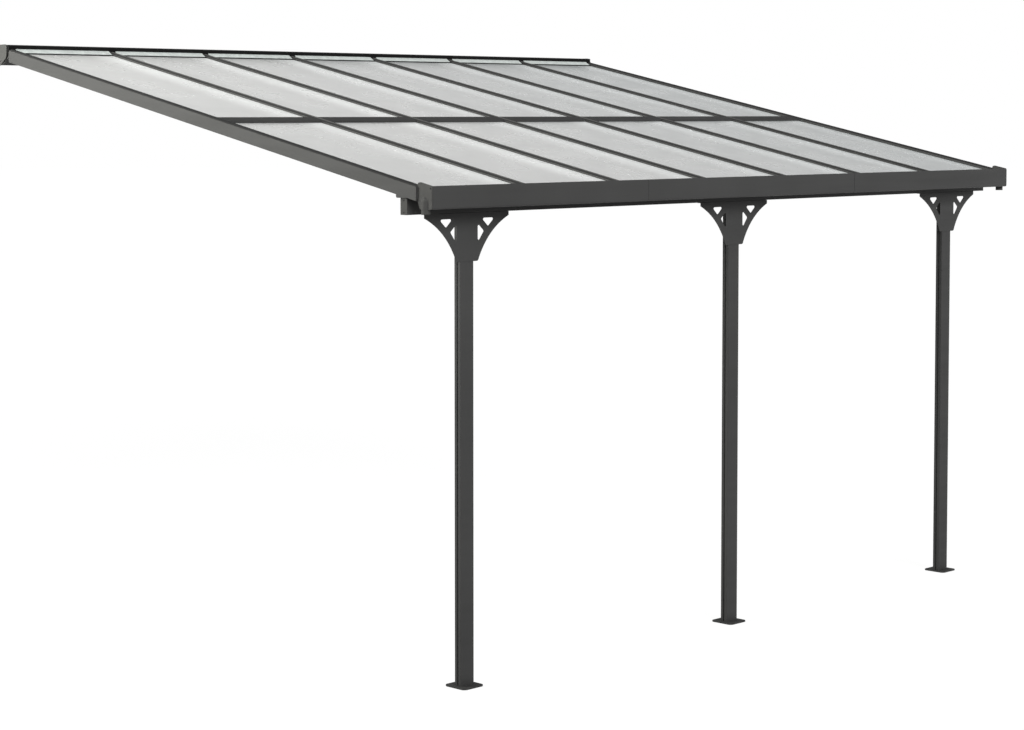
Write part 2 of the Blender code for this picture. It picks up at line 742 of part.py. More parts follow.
def gusset_holes():
    """Two three-cornered holes in each wing, mirrored about the post."""
    edge = POST_WIDTH / 2
    x = edge + GUSSET_REACH - UPPER_HOLE_FROM_TIP
    z = -UPPER_HOLE_DROP
    half = UPPER_HOLE_LENGTH / 2
    upper = [(x - half, z), (x + half, z - DRAFT), (x, z - UPPER_HOLE_HEIGHT)]
    x = edge + LOWER_HOLE_FROM_POST
    z = -GUSSET_HEIGHT + LOWER_HOLE_FROM_FOOT
    half = LOWER_HOLE_LENGTH / 2
    lower = [(x, z + half), (x, z - half), (x + LOWER_HOLE_HEIGHT, z + LOWER_HOLE_LEAN)]
    holes = []
    for triangle in (upper, lower):
        right = rounded(triangle, HOLE_CORNER, HOLE_CORNER_STEPS)
        holes.append(right)
        holes.append([(-point.x, point.y) for point in right])
    return holes


def build_gussets(site):
    half = gusset_half()
    outline = half + [Vector((-p.x, p.y)) for p in reversed(half)]
    front = BEAM_Y - POST_DEPTH / 2 - GAP - GUSSET_THICKNESS / 2
    top = BEAM_BOTTOM - GAP
    wing = GUSSET_REACH - GAP - GUSSET_FLANGE_INSET
    for number, x in post_places():
        name = "gusset_%d" % number
        plate = extrusion(name, [outline] + gusset_holes(), GUSSET_THICKNESS)
        obj = as_mesh(facing_wall(plate, (x, front, top - GAP), site))
        for side in (-1, 1):
            centre = (x + side * (POST_WIDTH / 2 + GAP + wing / 2),
                      front + GUSSET_FLANGE / 2, top - GUSSET_THICKNESS / 2)
            flange = box(name + "_flange", (wing, GUSSET_FLANGE, GUSSET_THICKNESS), centre, TOOLS)
            flange.parent = site
            combine(obj, as_tool(flange), "UNION")
        obj.data.materials.append(FRAME_PAINT)


clear_scene()
PARTS = new_collection("patio_cover")
TOOLS = new_collection("cutters")
FRAME_PAINT = material("grey_powder_coat", (0.075, 0.075, 0.075), 0.45, 0.0)
CAP_PLASTIC = material("grey_cap_plastic", (0.085, 0.085, 0.083), 0.55, 0.0)
POLYCARBONATE = material("frosted_polycarbonate", (0.80, 0.82, 0.81), 0.35, 0.0, 0.6)
SEAL = material("clear_seal", (0.72, 0.78, 0.76), 0.4, 0.0)

SITE = empty("site", (0.0, 0.0, -WALL_FACE_HEIGHT), (0.0, 0.0, 0.0))
ROOF = empty("roof", (0.0, 0.0, ROOF_HEIGHT), (ROOF_SLOPE, 0.0, 0.0), SITE)
bpy.context.view_layer.update()

build_wall_profile(SITE)
build_wall_seal(SITE)
build_wall_caps(SITE)
build_rafters(SITE, ROOF)
build_panels(ROOF)
build_joints(ROOF)
build_gutter(SITE)
build_gutter_caps(SITE)
build_beam(SITE)
build_posts(SITE)
build_base_plates(SITE)
build_gussets(SITE)
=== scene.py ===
import json
import math

import bmesh
import bpy
from mathutils import Matrix, Vector


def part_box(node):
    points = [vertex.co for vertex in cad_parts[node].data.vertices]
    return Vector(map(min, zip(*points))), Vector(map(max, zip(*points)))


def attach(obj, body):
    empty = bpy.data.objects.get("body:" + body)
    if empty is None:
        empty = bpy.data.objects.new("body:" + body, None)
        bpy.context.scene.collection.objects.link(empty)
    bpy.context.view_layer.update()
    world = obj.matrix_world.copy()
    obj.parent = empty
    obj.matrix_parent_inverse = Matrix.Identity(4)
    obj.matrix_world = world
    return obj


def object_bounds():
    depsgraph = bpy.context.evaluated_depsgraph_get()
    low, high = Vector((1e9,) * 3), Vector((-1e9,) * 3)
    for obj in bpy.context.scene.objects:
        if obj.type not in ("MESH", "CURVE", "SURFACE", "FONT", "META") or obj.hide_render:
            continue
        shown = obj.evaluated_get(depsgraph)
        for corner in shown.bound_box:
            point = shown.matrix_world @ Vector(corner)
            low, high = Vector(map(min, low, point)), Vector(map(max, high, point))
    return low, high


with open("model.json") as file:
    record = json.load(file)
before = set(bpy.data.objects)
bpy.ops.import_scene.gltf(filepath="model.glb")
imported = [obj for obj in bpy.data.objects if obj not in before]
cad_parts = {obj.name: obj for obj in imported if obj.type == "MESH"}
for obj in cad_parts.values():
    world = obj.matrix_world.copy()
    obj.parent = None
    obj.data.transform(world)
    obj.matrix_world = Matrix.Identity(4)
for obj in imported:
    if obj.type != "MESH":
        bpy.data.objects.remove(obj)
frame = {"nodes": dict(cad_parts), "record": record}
CAD_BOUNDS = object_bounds()

# Sizes that the part's source also has, in metres; the roof's plane carries the panels' undersides
BAY_WIDTH = 0.600
BAY_COUNT = 7
ROOF_SLOPE = math.radians(11.67)
ROOF_RISE_AT_WALL = 0.023
RAFTER_DEPTH = 0.0406
LEDGE_THICKNESS = 0.003
SKIRT_THICKNESS = 0.003
CAP_WIDTH = 0.040
CAP_EDGE = 0.007
CAP_RISE = 0.0145
SIDE_CAP_EXTRA = 0.003
PANEL_THICKNESS = 0.006
JOINT_WIDTH = 0.080
GUTTER_WALL = 0.0025
GUTTER_CORNER = 0.008
GUTTER_BEVEL_RUN = 0.014
GUTTER_BEVEL_RISE = 0.032
GUTTER_END_INSET = 0.009

HALF_ROOF = BAY_WIDTH * BAY_COUNT / 2
ROOF_EDGE = HALF_ROOF + CAP_WIDTH / 2
GUTTER_CAP_FACE = ROOF_EDGE - GUTTER_END_INSET
SLOPE = Matrix.Rotation(ROOF_SLOPE, 4, "X")

# Play between an added piece and what it lies against
PIECE_PLAY = 0.0001

# Rubber lips beside the caps and the joint bars
LIP_WIDTH = 0.0010
LIP_HEIGHT = 0.0010
LIP_TUCK = 0.0005
LIP_SLANT = 0.6
LIP_GAP_AT_WALL = 0.004
LIP_GAP_AT_GUTTER = 0.006
JOINT_LIP_PLAY = 0.001

# Black strip on the wall profile's lip: drops are measured from the seal's or the profile's top
STRIP_THICKNESS = 0.0015
STRIP_DROP = 0.0010
STRIP_BACK_DROP = 0.003
STRIP_FRONT_DROP = 0.004

# Pale flaps along the wall, with dark beads at their edges that are painted shadow
WALL_FLAP_REACH = 0.038
WALL_FLAP_THICKNESS = 0.0012
BEAD_HEIGHT = 0.0055
BEAD_DEPTH = 0.003
BEAD_TOP_SHARE = 0.6

# Closing pieces at the rafters' heads, the seal's ends and the side rafters' lower ends
HEAD_DEPTH = 0.004
HEAD_STEPS = 6
END_COVER_DEPTH = 0.004
END_COVER_TOP_SHARE = 0.5
END_COVER_SHOULDER_SHARE = 0.3
FLANK_THICKNESS = 0.0006
FLANK_DEPTH = 0.0112
FLANK_DROP = 0.002
PLUG_THICKNESS = 0.0015
PLUG_DROP = 0.002
PLUG_INNER_OFFSET = 0.010

# Butt joints of the gutter, with the sleeve behind each
GUTTER_CORNER_STEPS = 3
SEAM_PLACES = (-0.7807, 0.7536)
SEAM_WIDTH = 0.0016
SEAM_PROUD = 0.0002
SEAM_BACK_HEIGHT = 0.060
SLEEVE_LENGTH = 0.070
SLEEVE_PLAY = 0.0002
SLEEVE_THICKNESS = 0.0012
SLEEVE_FRONT_DROP = 0.016
SLEEVE_BACK_HEIGHT = 0.045

# Screws: the profile holds shares of the head's radius and height, from its recess outwards
SCREW_RADIUS = 0.0036
SCREW_HEIGHT = 0.0018
SCREW_SEGMENTS = 20
SCREW_PROFILE = ((0.42, 0.45), (0.46, 0.92), (0.62, 0.86), (0.82, 0.66), (0.96, 0.34), (1.0, 0.0))
SCREW_FROM_EDGE = 0.010
GUTTER_SCREW_FROM_FRONT = 0.007
WALL_SCREW_RISE = 0.022
WALL_SCREW_SHARE = 0.30

# Colours of the painted and moulded pieces
COAT = (0.048, 0.048, 0.0475)
# Darker colours for tops are painted shade, and a cap's paler middle is a painted highlight
COAT_TOP_PAINTED_SHADE = (0.015, 0.015, 0.015)
CAP_TOP_PAINTED_SHADE = (0.008, 0.008, 0.008)
CAP_MIDDLE_PAINTED_HIGHLIGHT = (0.085, 0.085, 0.083)
PLATE_TOP_PAINTED_SHADE = (0.040, 0.040, 0.040)
DUST = (0.20, 0.195, 0.185)
# Painted shade that darkens the coat towards the ground
FOOT_SHADE = (0.004, 0.004, 0.004)
PLASTIC = (0.054, 0.054, 0.0525)
PALE_SEAL = (0.47, 0.505, 0.49)
BLACK_RUBBER = (0.008, 0.008, 0.008)
SEAM_SHADOW = (0.022, 0.022, 0.022)
DARK_STEEL = (0.012, 0.012, 0.012)
DARK_STEEL_LOW = (0.008, 0.008, 0.008)
DARK_STEEL_HIGH = (0.018, 0.018, 0.018)

# Powder coat: the upward lean at which a face starts and ends turning into a top, the shares of a
# cap's width where its painted highlight along the middle ends, and the heights between which
# painted shade darkens the coat towards the ground
UP_START = 0.55
UP_END = 0.95
CAP_MIDDLE_SHARE = 0.12
CAP_EDGE_SHARE = 0.32
TONE_SPREAD = 0.10
DUST_SHARE = 0.015
TOP_DULLING = 0.36
FOOT_SHADE_TOP = -1.1
FOOT_SHADE_BOTTOM = -2.72
FOOT_SHADE_SHARE = 0.32

# Frosted sheets: colours in the left and the right bays, the right ones darker by painted shade,
# and where each bay turns paler by a painted highlight
SHEET = (0.80, 0.81, 0.80)
SHEET_LEFT = (0.56, 0.565, 0.56)
SHEET_RIGHT_PAINTED_SHADE = (0.425, 0.445, 0.445)
PAINTED_HIGHLIGHT_LEFT = (0.93, 0.945, 0.94)
PAINTED_HIGHLIGHT_RIGHT = (0.79, 0.82, 0.82)
SHEET_LEFT_END = -0.8
SHEET_RIGHT_START = 1.8
PALE_BAND_START = 0.70
PALE_BAND_END = 1.08
PALE_BAND_WANDER = 0.16
FLUTE = (0.40, 0.41, 0.41)
FLUTE_PITCH = 0.006
FLUTE_SHARE = 0.012
SHEET_IOR = 1.58
SHEET_TRANSMISSION = 0.25

# Camera solved from the photograph
CAMERA_PLACE = (-8.6056, -9.9826, -0.2847)
CAMERA_YAW = 0.7921
CAMERA_PITCH = -0.0559
CAMERA_LENS = 81.98
CAMERA_SENSOR = 36.0
CAMERA_SHIFT_Y = -0.11914
CAMERA_REACH = 300.0

# Light: what the world gives, and what the floor adds so that it reads white
WHITE = (1.0, 1.0, 1.0, 1.0)
WARM = (1.0, 1.0, 0.94)
WORLD_STRENGTH = 0.48
FLOOR_GLOW = 0.945
FLOOR_COLOUR = (0.08, 0.08, 0.08)
FLOOR_RADIUS = 90.0
FLOOR_CORNERS = 96
FLOOR_DROP = 0.0005


# Node helpers

def new_material(name, colour, roughness, specular):
    mat = bpy.data.materials.new(name)
    mat.use_nodes = True
    shader = mat.node_tree.nodes["Principled BSDF"]
    shader.inputs["Base Color"].default_value = (*colour, 1.0)
    shader.inputs["Roughness"].default_value = roughness
    shader.inputs["Specular IOR Level"].default_value = specular
    return mat, mat.node_tree, shader


def node(tree, kind, **settings):
    """New node, with some of its sockets set by name."""
    made = tree.nodes.new(kind)
    for key, value in settings.items():
        made.inputs[key].default_value = value
    return made


def math_node(tree, operation, a, b=None):
    """Result of one sum; each operand is a socket or a number."""
    made = tree.nodes.new("ShaderNodeMath")
    made.operation = operation
    for socket, value in zip(made.inputs, (a, b)):
        if value is None:
            continue
        if isinstance(value, (int, float)):
            socket.default_value = value
        else:
            tree.links.new(value, socket)
    return made.outputs[0]


def ramp(tree, value, low, high, to_low=0.0, to_high=1.0, smooth=False):
    """Maps low..high of a value to to_low..to_high, clamped."""
    made = tree.nodes.new("ShaderNodeMapRange")
    made.interpolation_type = "SMOOTHSTEP" if smooth else "LINEAR"
    tree.links.new(value, made.inputs["Value"])
    made.inputs["From Min"].default_value = low
    made.inputs["From Max"].default_value = high
    made.inputs["To Min"].default_value = to_low
    made.inputs["To Max"].default_value = to_high
    return made.outputs["Result"]


def blend_colours(tree, factor, first, second):
    """Mixes two colours; each is a socket or an (r, g, b) value."""
    made = tree.nodes.new("ShaderNodeMix")
    made.data_type = "RGBA"
    tree.links.new(factor, made.inputs["Factor"])
    # A Mix node repeats A, B and Result for each kind of value; these are its colour sockets
    colour_a, colour_b, colour_result = made.inputs[6], made.inputs[7], made.outputs[2]
    for socket, value in ((colour_a, first), (colour_b, second)):
        if isinstance(value, tuple):
            socket.default_value = (*value, 1.0)
        else:
            tree.links.new(value, socket)
    return colour_result


def noise(tree, scale, detail, stretch=(1.0, 1.0, 1.0)):
    coords = node(tree, "ShaderNodeTexCoord")
    mapping = node(tree, "ShaderNodeMapping", Scale=stretch)
    tree.links.new(coords.outputs["Object"], mapping.inputs["Vector"])
    made = node(tree, "ShaderNodeTexNoise", Scale=scale, Detail=detail)
    tree.links.new(mapping.outputs["Vector"], made.inputs["Vector"])
    return made.outputs["Fac"]


def add_bump(tree, shader, height, distance, strength):
    made = node(tree, "ShaderNodeBump", Strength=strength, Distance=distance)
    tree.links.new(height, made.inputs["Height"])
    tree.links.new(made.outputs["Normal"], shader.inputs["Normal"])


def place_axis(tree, axis):
    """The shaded point's own coordinate along one axis."""
    coords = node(tree, "ShaderNodeTexCoord")
    split = node(tree, "ShaderNodeSeparateXYZ")
    tree.links.new(coords.outputs["Object"], split.inputs[0])
    return split.outputs[axis]


def facing_up(tree):
    """1 on faces that look up, 0 on upright and lower ones."""
    geometry = node(tree, "ShaderNodeNewGeometry")
    split = node(tree, "ShaderNodeSeparateXYZ")
    tree.links.new(geometry.outputs["Normal"], split.inputs[0])
    return ramp(tree, split.outputs["Z"], UP_START, UP_END)


def plainly_seen(tree):
    """1 for rays from the camera, off shiny faces and through clear ones, 0 for all others."""
    path = node(tree, "ShaderNodeLightPath")
    seen = math_node(tree, "MAXIMUM", path.outputs["Is Camera Ray"], path.outputs["Is Glossy Ray"])
    return math_node(tree, "MAXIMUM", seen, path.outputs["Is Transmission Ray"])


def shaded(colour, factor):
    return tuple(value * factor for value in colour)


# Materials

def cap_edge(tree):
    """1 along the two edges of each rafter's cap, 0 in its middle."""
    # Half a bay is added so that a rafter's middle falls on one half and not on a whole number
    across = math_node(tree, "ADD", place_axis(tree, "X"), HALF_ROOF + BAY_WIDTH / 2)
    share = math_node(tree, "FRACT", math_node(tree, "DIVIDE", across, BAY_WIDTH))
    offset = math_node(tree, "ABSOLUTE", math_node(tree, "SUBTRACT", share, 0.5))
    return ramp(tree, offset, CAP_WIDTH * CAP_MIDDLE_SHARE / BAY_WIDTH,
                CAP_WIDTH * CAP_EDGE_SHARE / BAY_WIDTH)


def powder_coat(name, stretch, top, cap_highlight=None):
    """Satin powder coat with orange peel and slow tone changes.

    Tops take a darker colour, painted shade, and are duller; a cap can be paler along its middle,
    a painted highlight; and painted shade darkens the coat towards the ground.
    """
    mat, tree, shader = new_material(name, COAT, roughness=0.55, specular=0.2)
    up = facing_up(tree)
    patches = ramp(tree, noise(tree, scale=1.6, detail=3.0), low=0.35, high=0.65)
    tone = blend_colours(tree, patches, shaded(COAT, 1 - TONE_SPREAD), shaded(COAT, 1 + TONE_SPREAD))
    specks = ramp(tree, noise(tree, scale=9.0, detail=5.0), low=0.45, high=0.8)
    grime = math_node(tree, "MULTIPLY", up, specks)
    tone = blend_colours(tree, math_node(tree, "MULTIPLY", grime, DUST_SHARE), tone, DUST)
    # A cap's top is paler along its middle, a painted highlight, and darker at its edges, painted
    # shade
    if cap_highlight:
        top = blend_colours(tree, cap_edge(tree), cap_highlight, top)
    # Tops take the darker top colour: painted shade
    tone = blend_colours(tree, up, tone, top)
    # Painted shade: the coat darkens towards the ground
    painted_foot_shade = ramp(tree, place_axis(tree, "Z"), FOOT_SHADE_TOP, FOOT_SHADE_BOTTOM,
                to_high=FOOT_SHADE_SHARE)
    tone = blend_colours(tree, painted_foot_shade, tone, FOOT_SHADE)
    tree.links.new(tone, shader.inputs["Base Color"])
    shine = ramp(tree, noise(tree, scale=26.0, detail=3.0, stretch=stretch), low=0.3, high=0.7,
                 to_low=0.46, to_high=0.60)
    dulled = math_node(tree, "MULTIPLY", up, TOP_DULLING)
    tree.links.new(math_node(tree, "ADD", shine, dulled), shader.inputs["Roughness"])
    add_bump(tree, shader, noise(tree, scale=900.0, detail=2.0), distance=0.00012, strength=0.5)
    return mat


def moulded_plastic(name):
    """Matt moulded plastic with a fine grain."""
    mat, tree, shader = new_material(name, PLASTIC, roughness=0.5, specular=0.15)
    patches = ramp(tree, noise(tree, scale=14.0, detail=3.0), low=0.3, high=0.7)
    tone = blend_colours(tree, patches, PLASTIC, shaded(PLASTIC, 1 + TONE_SPREAD))
    tree.links.new(tone, shader.inputs["Base Color"])
    shine = ramp(tree, noise(tree, scale=60.0, detail=2.0), low=0.3, high=0.7, to_low=0.52,
                 to_high=0.66)
    tree.links.new(shine, shader.inputs["Roughness"])
    add_bump(tree, shader, noise(tree, scale=2200.0, detail=1.0), distance=0.00008, strength=0.5)
    return mat


def frosted_sheet(name):
    """Twin-wall sheet with faint flutes down the slope.

    Each bay turns paler towards its right-hand rafter, a painted highlight, and the bays to the right
    are darker, painted shade, both as the photograph shows.
    """
    mat, tree, shader = new_material(name, SHEET, roughness=0.35, specular=0.08)
    shader.inputs["IOR"].default_value = SHEET_IOR
    shader.inputs["Transmission Weight"].default_value = SHEET_TRANSMISSION
    across = place_axis(tree, "X")
    bay = math_node(tree, "DIVIDE", math_node(tree, "ADD", across, HALF_ROOF), BAY_WIDTH)
    share = math_node(tree, "FRACT", bay)
    # Painted highlight: each bay turns paler towards its right-hand rafter
    wander = math_node(tree, "MULTIPLY", noise(tree, scale=1.3, detail=2.0), PALE_BAND_WANDER)
    band = ramp(tree, math_node(tree, "ADD", share, wander), PALE_BAND_START, PALE_BAND_END,
                smooth=True)
    # Painted shade: the bays turn darker towards the right
    shade_to_right = ramp(tree, across, SHEET_LEFT_END, SHEET_RIGHT_START)
    plain = blend_colours(tree, shade_to_right, SHEET_LEFT, SHEET_RIGHT_PAINTED_SHADE)
    pale = blend_colours(tree, shade_to_right, PAINTED_HIGHLIGHT_LEFT, PAINTED_HIGHLIGHT_RIGHT)
    tone = blend_colours(tree, band, plain, pale)
    wave = math_node(tree, "SINE", math_node(tree, "MULTIPLY", across, 2 * math.pi / FLUTE_PITCH))
    crest = ramp(tree, wave, low=0.55, high=1.0)
    faint = math_node(tree, "MULTIPLY", crest, FLUTE_SHARE)
    tone = blend_colours(tree, faint, tone, FLUTE)
    tree.links.new(tone, shader.inputs["Base Color"])
    shine = ramp(tree, noise(tree, scale=5.0, detail=3.0), low=0.3, high=0.7, to_low=0.24,
                 to_high=0.34)
    tree.links.new(shine, shader.inputs["Roughness"])
    add_bump(tree, shader, noise(tree, scale=4.0, detail=1.0), distance=0.0004, strength=0.06)
    return mat


def soft_strip(name, colour, roughness, specular=0.05):
    """Rubber or soft plastic with a slightly uneven tone and a fine grain."""
    mat, tree, shader = new_material(name, colour, roughness, specular)
    patches = ramp(tree, noise(tree, scale=30.0, detail=2.0), low=0.3, high=0.7)
    tree.links.new(blend_colours(tree, patches, colour, shaded(colour, 1.25)),
                   shader.inputs["Base Color"])
    add_bump(tree, shader, noise(tree, scale=700.0, detail=1.0), distance=0.0001, strength=0.4)
    return mat


def screw_steel(name):
    mat, tree, shader = new_material(name, DARK_STEEL, roughness=0.6, specular=0.2)
    tone = blend_colours(tree, noise(tree, scale=400.0, detail=2.0), DARK_STEEL_LOW, DARK_STEEL_HIGH)
    tree.links.new(tone, shader.inputs["Base Color"])
    return mat


# Mesh helpers

def finish_piece(name, bm, mat):
    mesh = bpy.data.meshes.new(name)
    bmesh.ops.recalc_face_normals(bm, faces=bm.faces)
    bm.to_mesh(mesh)
    bm.free()
    piece = bpy.data.objects.new(name, mesh)
    bpy.context.scene.collection.objects.link(piece)
    piece.data.materials.append(mat)
    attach(piece, "root")


def add_prism(bm, section, start, end, to_world):
    """Runs a closed section from start to end; to_world turns (section point, place) into a point."""
    rings = []
    for place in (start, end):
        rings.append([bm.verts.new(to_world(point, place)) for point in section])
    bm.faces.new(rings[0])
    bm.faces.new(rings[1][::-1])
    count = len(section)
    for index in range(count):
        after = (index + 1) % count
        bm.faces.new((rings[0][index], rings[0][after], rings[1][after], rings[1][index]))


def roof_point(x, distance, normal):
    """Point over the roof's plane: down-slope distance from the wall face, height along its normal."""
    place = SLOPE @ Vector((x, -distance, normal))
    return place + Vector((0.0, 0.0, ROOF_RISE_AT_WALL))


def down_roof(point, place):
    return roof_point(point[0], place, point[1])


def across_roof(point, place):
    return roof_point(place, point[0], point[1])


def along_x(point, place):
    return Vector((place, point[0], point[1]))


def along_y(point, place):
    return Vector((point[0], place, point[1]))


def bay_place(count):
    """X after a count of bays from the left: rafters at whole counts, bays' middles at halves."""
    return count * BAY_WIDTH - HALF_ROOF


def panel_top(y):
    """Height just over the panels' upper face at a place in front of the wall."""
    rise = (PANEL_THICKNESS + PIECE_PLAY) / math.cos(ROOF_SLOPE)
    return ROOF_RISE_AT_WALL + y * math.tan(ROOF_SLOPE) + rise


def slope_span(name):
    """Down-slope distances of a node's upper and lower ends, from its box."""
    low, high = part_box(name)
    return -high[1] / math.cos(ROOF_SLOPE), -low[1] / math.cos(ROOF_SLOPE)


def outer_x(name, side):
    """X of a node's end that looks away from the roof's middle."""
    low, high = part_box(name)
    return low[0] if side < 0 else high[0]


# Trim

def lip_section(edge, side):
    """Small rubber lip that leans out from a bar's edge on to the panel."""
    low = PANEL_THICKNESS + PIECE_PLAY
    return [(edge - side * LIP_TUCK, low), (edge + side * LIP_WIDTH, low),
            (edge + side * LIP_WIDTH * LIP_SLANT, low + LIP_HEIGHT * LIP_SLANT),
            (edge - side * LIP_TUCK, low + LIP_HEIGHT)]


def build_cap_lips(rubber):
    """Lips along the edges of the rafters' caps, but not on the roof's two outsides."""
    for index in range(BAY_COUNT + 1):
        x = bay_place(index)
        start, end = slope_span("rafter_%d" % (index + 1))
        bm = bmesh.new()
        for side in (-1, 1):
            outside = (index == 0 and side < 0) or (index == BAY_COUNT and side > 0)
            if outside:
                continue
            section = lip_section(x + side * CAP_WIDTH / 2, side)
            add_prism(bm, section, start + LIP_GAP_AT_WALL, end - LIP_GAP_AT_GUTTER, down_roof)
        finish_piece("cap_lips_%d" % (index + 1), bm, rubber)


def build_joint_lips(rubber):
    """Lips along both edges of each bay's joint bar."""
    low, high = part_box("panel_joint_1")
    middle = -(low[1] + high[1]) / 2 / math.cos(ROOF_SLOPE)
    length = BAY_WIDTH - CAP_WIDTH - 2 * LIP_WIDTH - JOINT_LIP_PLAY
    for index in range(BAY_COUNT):
        x = bay_place(index + 0.5)
        bm = bmesh.new()
        for side in (-1, 1):
            section = lip_section(middle + side * JOINT_WIDTH / 2, side)
            add_prism(bm, section, x - length / 2, x + length / 2, across_roof)
        finish_piece("joint_lips_%d" % (index + 1), bm, rubber)


def build_wall_strip(rubber):
    """Black rubber strip on the front of the wall profile's lip."""
    low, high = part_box("wall_profile")
    back = low[1] - PIECE_PLAY
    front = low[1] - STRIP_THICKNESS
    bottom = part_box("wall_seal")[1][2] - STRIP_DROP
    section = [(back, bottom), (back, high[2] - STRIP_BACK_DROP),
               (front, high[2] - STRIP_FRONT_DROP), (front, bottom)]
    bm = bmesh.new()
    add_prism(bm, section, low[0] - FLANK_THICKNESS, high[0] + FLANK_THICKNESS, along_x)
    finish_piece("wall_lip_strip", bm, rubber)


def strip_back():
    """Y of the plane in which the strip and the pieces under it meet the wall profile."""
    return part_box("wall_profile")[0][1] - PIECE_PLAY


def strip_underside():
    """Height up to which the pieces under the strip may stand."""
    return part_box("wall_seal")[1][2] - STRIP_DROP - PIECE_PLAY


def build_wall_flaps(pale, rubber):
    """Pale flap in each bay that leans from the lip on to the panel, with a dark bead at its edge."""
    back = strip_back()
    top = strip_underside()
    toe = back - WALL_FLAP_REACH
    flap = [(back, panel_top(back)), (back, top), (back - WALL_FLAP_THICKNESS, top),
            (toe, panel_top(toe) + WALL_FLAP_THICKNESS), (toe, panel_top(toe))]
    # The bead is painted shadow along the flap's lower edge, drawn in black rubber
    bead = [(toe - PIECE_PLAY, panel_top(toe)), (toe - PIECE_PLAY, panel_top(toe) + BEAD_HEIGHT),
            (toe - BEAD_DEPTH * BEAD_TOP_SHARE, panel_top(toe) + BEAD_HEIGHT),
            (toe - BEAD_DEPTH, panel_top(toe - BEAD_DEPTH))]
    for index in range(BAY_COUNT):
        start = bay_place(index) + CAP_WIDTH / 2 + LIP_WIDTH + PIECE_PLAY
        end = start + BAY_WIDTH - CAP_WIDTH - 2 * (LIP_WIDTH + PIECE_PLAY)
        for name, section, mat in (("wall_flap", flap, pale), ("wall_shadow_bead", bead, rubber)):
            bm = bmesh.new()
            add_prism(bm, section, start, end, along_x)
            finish_piece("%s_%d" % (name, index + 1), bm, mat)


def build_rafter_heads(rubber):
    """Blocks that close the space between each rafter's arched cap and the wall profile's lip."""
    back = strip_back()
    top = strip_underside()
    half = CAP_WIDTH / 2 - PIECE_PLAY
    for index in range(BAY_COUNT + 1):
        x = bay_place(index)
        extra = SIDE_CAP_EXTRA if index in (0, BAY_COUNT) else 0.0
        section = [(half, top), (-half, top)]
        for step in range(HEAD_STEPS + 1):
            across = 2 * step / HEAD_STEPS - 1
            rise = CAP_EDGE + extra + (CAP_RISE - CAP_EDGE) * (1 - across * across) + PIECE_PLAY
            section.append((half * across, panel_top(back) + rise / math.cos(ROOF_SLOPE)))
        bm = bmesh.new()
        add_prism(bm, [(x + side, z) for side, z in section], back, back - HEAD_DEPTH, along_y)
        finish_piece("rafter_head_%d" % (index + 1), bm, rubber)


def build_seal_ends(rubber):
    """Dark covers over the pale seal's two ends, each with a thin plate on the profile's end."""
    back = strip_back()
    top = strip_underside()
    front = back + 2 * PIECE_PLAY
    profile_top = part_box("wall_profile")[1][2] - FLANK_DROP
    low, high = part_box("wall_seal")
    shoulder = low[2] + (high[2] - low[2]) * END_COVER_SHOULDER_SHARE
    cover = [(back, low[2]), (back, top), (back - END_COVER_DEPTH * END_COVER_TOP_SHARE, top),
             (back - END_COVER_DEPTH, shoulder), (back - END_COVER_DEPTH, low[2])]
    flank = [(front, low[2]), (front, profile_top), (front + FLANK_DEPTH, profile_top),
             (front + FLANK_DEPTH, low[2])]
    for side, label in ((-1, "left"), (1, "right")):
        edge = outer_x("wall_seal", side)
        bm = bmesh.new()
        add_prism(bm, cover, min(edge, side * ROOF_EDGE), max(edge, side * ROOF_EDGE), along_x)
        near = edge + side * PIECE_PLAY
        far = near + side * FLANK_THICKNESS
        add_prism(bm, flank, min(near, far), max(near, far), along_x)
        finish_piece("seal_end_" + label, bm, rubber)


def build_end_plugs(coat):
    """Plates that close the side rafters' hollow lower ends beside the gutter."""
    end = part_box("gutter")[1][1] + PIECE_PLAY
    top = panel_top(end) - (PANEL_THICKNESS + LEDGE_THICKNESS) / math.cos(ROOF_SLOPE) - PLUG_DROP
    bottom = panel_top(end) - RAFTER_DEPTH / math.cos(ROOF_SLOPE)
    section = [(end, bottom), (end, top), (end + PLUG_THICKNESS, top), (end + PLUG_THICKNESS, bottom)]
    for side, label in ((-1, "left"), (1, "right")):
        outside = side * (ROOF_EDGE - SKIRT_THICKNESS - PIECE_PLAY)
        inside = side * (HALF_ROOF - PLUG_INNER_OFFSET)
        bm = bmesh.new()
        add_prism(bm, section, min(outside, inside), max(outside, inside), along_x)
        finish_piece("rafter_plug_" + label, bm, coat)


def gutter_line(front_top, back_top):
    """Middle line of the gutter's sheet in (Y, Z), from its front round to its back."""
    low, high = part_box("gutter")
    half = GUTTER_WALL / 2
    front = low[1] + half
    back = high[1] - half
    bottom = low[2] + half
    radius = GUTTER_CORNER - half
    line = [(front, front_top)]
    for step in range(GUTTER_CORNER_STEPS + 1):
        turn = math.pi / 2 * step / GUTTER_CORNER_STEPS
        line.append((front + radius * (1 - math.cos(turn)), bottom + radius * (1 - math.sin(turn))))
    line += [(back - GUTTER_BEVEL_RUN, bottom), (back, bottom + GUTTER_BEVEL_RISE), (back, back_top)]
    return [Vector(point) for point in line]


def moved_line(line, distance):
    """The line moved towards the trough's inside, with mitred corners."""
    moved = []
    for index, here in enumerate(line):
        before = (here - line[index - 1]).normalized() if index else None
        after = (line[index + 1] - here).normalized() if index + 1 < len(line) else None
        first = before or after
        second = after or before
        normal = Vector((-first.y - second.y, first.x + second.x)).normalized()
        moved.append(here + normal * (distance / normal.dot(Vector((-first.y, first.x)))))
    return moved


def gutter_band(front_top, back_top, near, far):
    """Closed section between two lines that follow the gutter's sheet."""
    line = gutter_line(front_top, back_top)
    return moved_line(line, near) + moved_line(line, far)[::-1]


